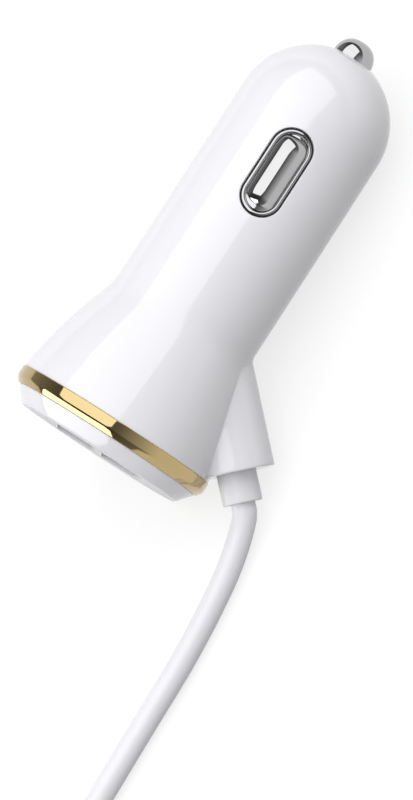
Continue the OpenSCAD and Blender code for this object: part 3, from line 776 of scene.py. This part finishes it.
def contact_row(rho, x):
    """A ring of points at distance rho from a contact's straight middle line. Their height x is
    a number, or given by [z, y]."""
    z, y = ALONG + WAY_Z * rho, WAY_Y * rho
    height = x(z, y) if callable(x) else x
    return np.stack([height + 0 * z, y, CONTACT_Z + z], -1)


def crown(z, y):
    """Height of a side contact's top: a long arched crown, round across, that melts into low,
    flatter ledges."""
    beyond = np.maximum(np.abs(z) - ARCH_HALF, 0)
    arch = CROWN_TOP - fall(ARCH_END_R, np.minimum(beyond, ARCH_REACH)) - fall(ACROSS_R, y)
    ledge = LEDGE_TOP - LEDGE_SLOPE * z - fall(LEDGE_R, y)
    h = np.clip(0.5 + (arch - ledge) / (2 * MELT), 0, 1)
    return ledge + (arch - ledge) * h + MELT * h * (1 - h)


def make_side_contact(name, node, body, place):
    """The contact: its crown, a small rounded edge, its straight side and its flange."""
    rows = [contact_row(rho, crown) for rho in np.linspace(0, 2.08, 40)]
    rows += [contact_row(2.13, lambda z, y: crown(z, y) - 0.03),
             contact_row(CONTACT_R, lambda z, y: crown(z, y) - 0.08)]
    rows += [contact_row(rho, x) for rho, x in CONTACT_SIDE]
    piece(name, [laid_grid(place(np.stack(rows)))], "chrome", body=body, stands_for=[node],
          crisp=50)


def make_rim(name, node, place):
    """The chrome rim: a band that stands on the pocket's ledge, round on top. Its outer edge is
    painted shade: a near-black metal that stands in for the shadow in the gap round the rim."""
    def top(less):
        return lambda z, y: np.sqrt(RIM_TOP_R**2 - y**2) - less

    across = np.concatenate([
        np.linspace(OPENING_R, PAINTED_SHADE_FROM, 11), np.linspace(PAINTED_SHADE_FROM + 0.02, RIM_OUT, 7)])
    outline = [(OPENING_R, RIM_SIDE)]
    outline += [(rho, fall(RIM_ROUND, rho - RIM_RIDGE)) for rho in across]
    outline += [(RIM_OUT, RIM_SIDE)]
    rows = [contact_row(OPENING_R, RIM_BASE)]
    rows += [contact_row(rho, top(less)) for rho, less in outline]
    rows += [contact_row(RIM_OUT, RIM_BASE), contact_row(OPENING_R, RIM_BASE)]
    rim = piece(name, [laid_grid(place(np.stack(rows)))], "chrome", stands_for=[node], crisp=50)
    p = face_middles(rim, [0, 0, CONTACT_Z])
    z, y = p @ lay_way([0, 0, 1]), p @ lay_way([0, 1, 0])
    far = np.hypot(z - np.clip(z, -STRAIGHT, STRAIGHT), y)
    # The rim's outer faces get the painted shade, a dark line where the gap round the rim would be
    # in shadow
    give_faces(rim, RIM_PAINTED_SHADE, far > PAINTED_SHADE_FROM)


# A leaf spring's foot on the board's shoulder, its lower bend, the contact's back that it leans
# on, its thickness and its width
LEAF_END, LEAF_FOOT, LEAF_FOLD, LEAF_BACK, LEAF_T, LEAF_W = 7.83, 35.15, 5.0, 7.464, 0.3, 3.4


def make_leaf(name, node, place):
    """A leaf spring: a strip that stands on the board's shoulder and leans on the contact's back."""
    line = soften(
        [[LEAF_END, LEAF_FOOT], [LEAF_FOLD, LEAF_FOOT], [LEAF_BACK, CONTACT_Z],
         [LEAF_BACK - CONTACT_TRAVEL, CONTACT_Z + 2 * (STRAIGHT + OPENING_R) / 3]],
        [0, 0.8, 1.4, 0], 9)
    along = np.gradient(line, axis=0)
    along /= np.linalg.norm(along, axis=1, keepdims=True)
    half = LEAF_T / 2 * np.stack([-along[:, 1], along[:, 0]], -1)
    outline = np.concatenate([line + half, (line - half)[::-1]])
    middle = np.concatenate([line, line[::-1]])

    def row(p, y):
        return np.stack([p[:, 0], np.full(len(p), y), p[:, 1]], -1)

    rows = np.stack([row(middle, -LEAF_W / 2), row(outline, -LEAF_W / 2),
                     row(outline, LEAF_W / 2), row(middle, LEAF_W / 2)])
    leaf = piece(name, [laid_grid(place(rows))], "spring", stands_for=[node], crisp=50)
    tuple(lay_way(place(np.array([1.0, 0, 0]))))
    tuple(lay(place(np.array([LEAF_FOLD, 0, LEAF_FOOT]))))
    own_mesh(leaf)


for half, place_half in (("lower", as_drawn), ("upper", turned_half_way)):
    make_leaf("leaf_" + half, "contact_leaf_" + half, place_half)
    make_side_contact("button_" + half, "side_contact_" + half, half + "_contact", place_half)
    make_rim("rim_" + half, "contact_bezel_" + half, place_half)


# Grommet

collar = soften(
    [[0, COLLAR_LEN], [COLLAR_R, COLLAR_LEN], [COLLAR_R, -FLANGE_FRONT],
     [FLANGE_R, -FLANGE_FRONT], [FLANGE_R, -FLANGE_BACK], [0, -FLANGE_BACK]],
    [0, 0.16, 0, 0.1, 0.1, 0])
turned_piece("strain_collar", collar, "cable", place=boss_frame, stands_for=["cable_grommet"],
             crisp=40)


# Cable: its run, its coil and its tail

def curve_through(points, step):
    """A smooth curve through points: on each span a cubic whose end slopes are the mean of the two
    neighbouring spans' slopes."""
    p = np.asarray(points, float)
    span = np.linalg.norm(np.diff(p, axis=0), axis=1)
    t = np.concatenate([[0], np.cumsum(span)])
    slope = np.gradient(p, t, axis=0)
    s = np.linspace(0, t[-1], int(t[-1] / step) + 1)
    k = np.clip(np.searchsorted(t, s, side="right") - 1, 0, len(span) - 1)
    u = ((s - t[k]) / span[k])[:, None]
    h = span[k][:, None]
    return ((1 + 2 * u) * (1 - u)**2 * p[k] + u * (1 - u)**2 * h * slope[k]
            + u * u * (3 - 2 * u) * p[k + 1] + u * u * (u - 1) * h * slope[k + 1])


# The coil: its turns, its middle radius, the places that the turns take in its section as
# [column, layer], and in degrees its steps and the moves from one place to the next
COIL_TURNS, COIL_R, COIL_STEP = 7.5, 18.9, 6.0
PLACES = np.array(
    [[2, 0], [1, 0], [0, 0], [0, 1], [0, 2], [1, 2], [1, 1], [2, 1], [2, 1]], float)
FIRST_MOVE, MOVE_SHIFT, MOVE_LEN = 15, 15.8, 40


def coil_path():
    """Seven and a half turns, clockwise from above, three wide and three deep. Each turn keeps its
    place through the far half, and moves to the next place somewhere in the near half."""
    swept = np.arange(0, COIL_TURNS * 360 + 0.1, COIL_STEP)
    turn = np.minimum(swept // 360, 7).astype(int)
    late = swept - 360 * turn - 180
    u = np.clip((late - (FIRST_MOVE + (6 - turn) * MOVE_SHIFT)) / MOVE_LEN, 0, 1)
    u = (u * u * (3 - 2 * u))[:, None]
    place = PLACES[turn] + u * (PLACES[turn + 1] - PLACES[turn])
    r = COIL_R + (place[:, 0] - 1) * CABLE_D
    a = np.radians(-90 - swept)
    return np.stack([
        COIL_X + r * np.cos(a), COIL_Y + r * np.sin(a), CABLE_D * (place[:, 1] + 0.5)], -1)


# The route's points: down from the collar, over the floor to the coil, and from the coil's
# second layer into the small plug
LIES = CABLE_D / 2
RUN = [
    lay(boss_frame([0, 0, COLLAR_LEN])) * 1000,
    lay(boss_frame([0, 0, COLLAR_LEN + 1 / SLANT])) * 1000,
    [-29.9, -15.4, 2.7], [-33.4, -16.1, 2.1], [-37, -16.6, 1.75], [-41.3, -17, LIES],
    [-49.9, -17.4, LIES], [-58.8, -17.2, LIES], [-68.3, -17, LIES], [-78, RUN_Y, LIES],
    [-88, RUN_Y, LIES], [-94, RUN_Y, LIES], [-101, RUN_Y, LIES], [-107, RUN_Y, LIES],
    [COIL_X, RUN_Y, LIES],
]
TAIL = [
    [COIL_X, TAIL_Y, 4.95], [-108, TAIL_Y, 4.93], [-104, TAIL_Y, 4.75], [-101, TAIL_Y, 4.3],
    [-98, TAIL_Y, 3.5], [-95.5, TAIL_Y, GRIP_AXIS], [SLEEVE_START, TAIL_Y, GRIP_AXIS],
]


def make_cable():
    """The lead, as one tube along its whole route."""
    path = np.concatenate([
        curve_through(RUN, 1.0)[:-1], coil_path(), curve_through(TAIL, 1.0)[1:]]) / 1000
    rings = tube(path, CABLE_D / 2000, 18)
    lead = piece("lead_cable", [(rings, grid_faces(*rings.shape[:2]))], "cable",
                 stands_for=["cable", "cable_coil", "cable_tail"], crisp=60)


make_cable()


# Floor, light and camera

FLOOR_HALF = 3


def seen_white(name, colour, lift, reach):
    """A pale surface that the camera, metal and glass see as white, and that still takes a shadow.
    The lamps' light thins out with distance, and the lift, which grows over the reach in metres,
    makes up for it."""
    n = new_material(name)
    n.shader.inputs["Base Color"].default_value = (*colour, 1)
    n.shader.inputs["Roughness"].default_value = 1.0
    n.shader.inputs["Specular IOR Level"].default_value = 0.0
    n.shader.inputs["Emission Color"].default_value = (1, 1, 1, 1)
    rays = n.add("ShaderNodeLightPath")
    seen = n.combine("MAXIMUM", rays.outputs["Is Camera Ray"], rays.outputs["Is Glossy Ray"])
    seen = n.combine("MAXIMUM", seen, rays.outputs["Is Transmission Ray"])
    place = n.add("ShaderNodeTexCoord")
    away = n.add("ShaderNodeVectorMath", operation="LENGTH")
    n.join(place.outputs["Object"], away.inputs[0])
    lifted = n.combine("MULTIPLY", seen, n.spread(away.outputs["Value"], *lift, *reach))
    n.join(lifted, n.shader.inputs["Emission Strength"])
    return n.owner


def make_floor():
    mesh = bpy.data.meshes.new("floor")
    corners = [(-1, -1), (1, -1), (1, 1), (-1, 1)]
    mesh.from_pydata([(FLOOR_HALF * x, FLOOR_HALF * y, 0) for x, y in corners], [], [(0, 1, 2, 3)])
    floor = bpy.data.objects.new("floor", mesh)
    bpy.context.scene.collection.objects.link(floor)
    mesh.materials.append(
        seen_white("pale floor", (0.26, 0.26, 0.26), lift=(0.76, 0.98), reach=(0.1, 1.2)))


make_floor()

TO_CAMERA = np.array([0.02623158, -0.57374943, 0.81861068])
# The plug's axis in the picture, and the way across it on the boss's side
AXIS = lay_way([0, 0, 1])
AXIS -= AXIS @ TO_CAMERA * TO_CAMERA
AXIS /= np.linalg.norm(AXIS)
SIDE = np.cross(AXIS, TO_CAMERA)
# The picture's own two directions, and the point in its middle
ACROSS = 0.5434 * AXIS + 0.8395 * SIDE
UPWARDS = np.cross(TO_CAMERA, ACROSS)
AIM = lay([0, -8.24, 13.57])
# The middle of the plug, at which the lamps are aimed
LIT = lay([0, 0, 30])


def turned_to(thing, x, y, z, place):
    """Puts a lamp or camera at a place, with its own axes along x, y and z."""
    thing.matrix_world = Matrix(
        [[x[k], y[k], z[k], place[k]] for k in range(3)] + [[0, 0, 0, 1]])


def make_camera():
    """The camera, far metres from the plug, with a lens that makes the picture tall metres high
    there."""
    far, tall, sensor = 1.6, 0.1053, 24.0
    data = bpy.data.cameras.new("camera")
    data.sensor_fit, data.sensor_height, data.sensor_width = "VERTICAL", sensor, sensor
    data.lens = sensor * far / tall
    data.clip_start, data.clip_end = 0.05, 20
    camera = bpy.data.objects.new("camera", data)
    bpy.context.scene.collection.objects.link(camera)
    turned_to(camera, ACROSS, UPWARDS, TO_CAMERA, AIM + far * TO_CAMERA)
    bpy.context.scene.camera = camera


make_camera()


def area_light(name, way, along, far, wide, tall, watts):
    """A rectangular lamp aimed at the plug, from a distance in metres. way, and along, the
    direction of its tall side, count towards the camera, towards the boss's side and towards the
    nose."""
    picture = np.stack([TO_CAMERA, SIDE, AXIS])
    out, y = np.asarray(way, float) @ picture, np.asarray(along, float) @ picture
    out /= np.linalg.norm(out)
    y -= y @ out * out
    y /= np.linalg.norm(y)
    data = bpy.data.lights.new(name, "AREA")
    data.shape, data.size, data.size_y, data.energy = "RECTANGLE", wide, tall, watts
    lamp = bpy.data.objects.new(name, data)
    bpy.context.scene.collection.objects.link(lamp)
    turned_to(lamp, np.cross(y, out), y, out, LIT + far * out)


area_light("softbox", way=(0.765, -0.556, 0.326), along=(0, 0, 1),
           far=0.6, wide=0.84, tall=1.33, watts=6.9)
area_light("side panel", way=(0.128, -0.456, -0.88), along=(-0.68, -0.68, 0.29),
           far=0.5, wide=0.17, tall=0.6, watts=1.15)


def make_world():
    """A dim room, darker towards the plug's two ends and lighter on the boss's side. Its lowest
    part, where the floor runs out, is white."""
    world = bpy.data.worlds.new("studio")
    bpy.context.scene.world = world
    n = Nodes(world, "Background")
    place = n.add("ShaderNodeTexCoord").outputs["Generated"]
    apart = n.add("ShaderNodeSeparateXYZ")
    n.join(place, apart.inputs[0])
    height = apart.outputs["Z"]

    def greys(value, *stops):
        return n.ramp(value, [(at, (grey, grey, grey)) for at, grey in stops])

    def towards(way, operation, other):
        """How far the view goes along a way, and then one more operation on that number."""
        share = n.add("ShaderNodeVectorMath", operation="DOT_PRODUCT")
        n.join(place, share.inputs[0])
        share.inputs[1].default_value = tuple(way)
        node = n.add("ShaderNodeMath", operation=operation)
        n.join(share.outputs["Value"], node.inputs[0])
        node.inputs[1].default_value = other
        return node.outputs[0]

    def both(operation, one, two):
        return n.combine(operation, one, two, "ShaderNodeVectorMath")

    room = greys(height, (0.05, 0.95), (0.12, 0.92), (0.4, 0.66), (0.75, 0.35))
    ends = greys(towards(AXIS, "ABSOLUTE", 0), (0.35, 1.0), (0.7, 0.3))
    sides = greys(towards(SIDE / 2, "ADD", 0.5), (0.1, 0.4), (0.5, 0.48), (0.65, 0.8), (0.9, 1.0))
    skyline = greys(height, (0.05, 1.0), (0.1, 0.0))
    colour = both("MAXIMUM", both("MULTIPLY", both("MULTIPLY", room, ends), sides), skyline)
    n.join(colour, n.shader.inputs["Color"])


make_world()
bpy.context.scene.view_settings.view_transform = "Standard"
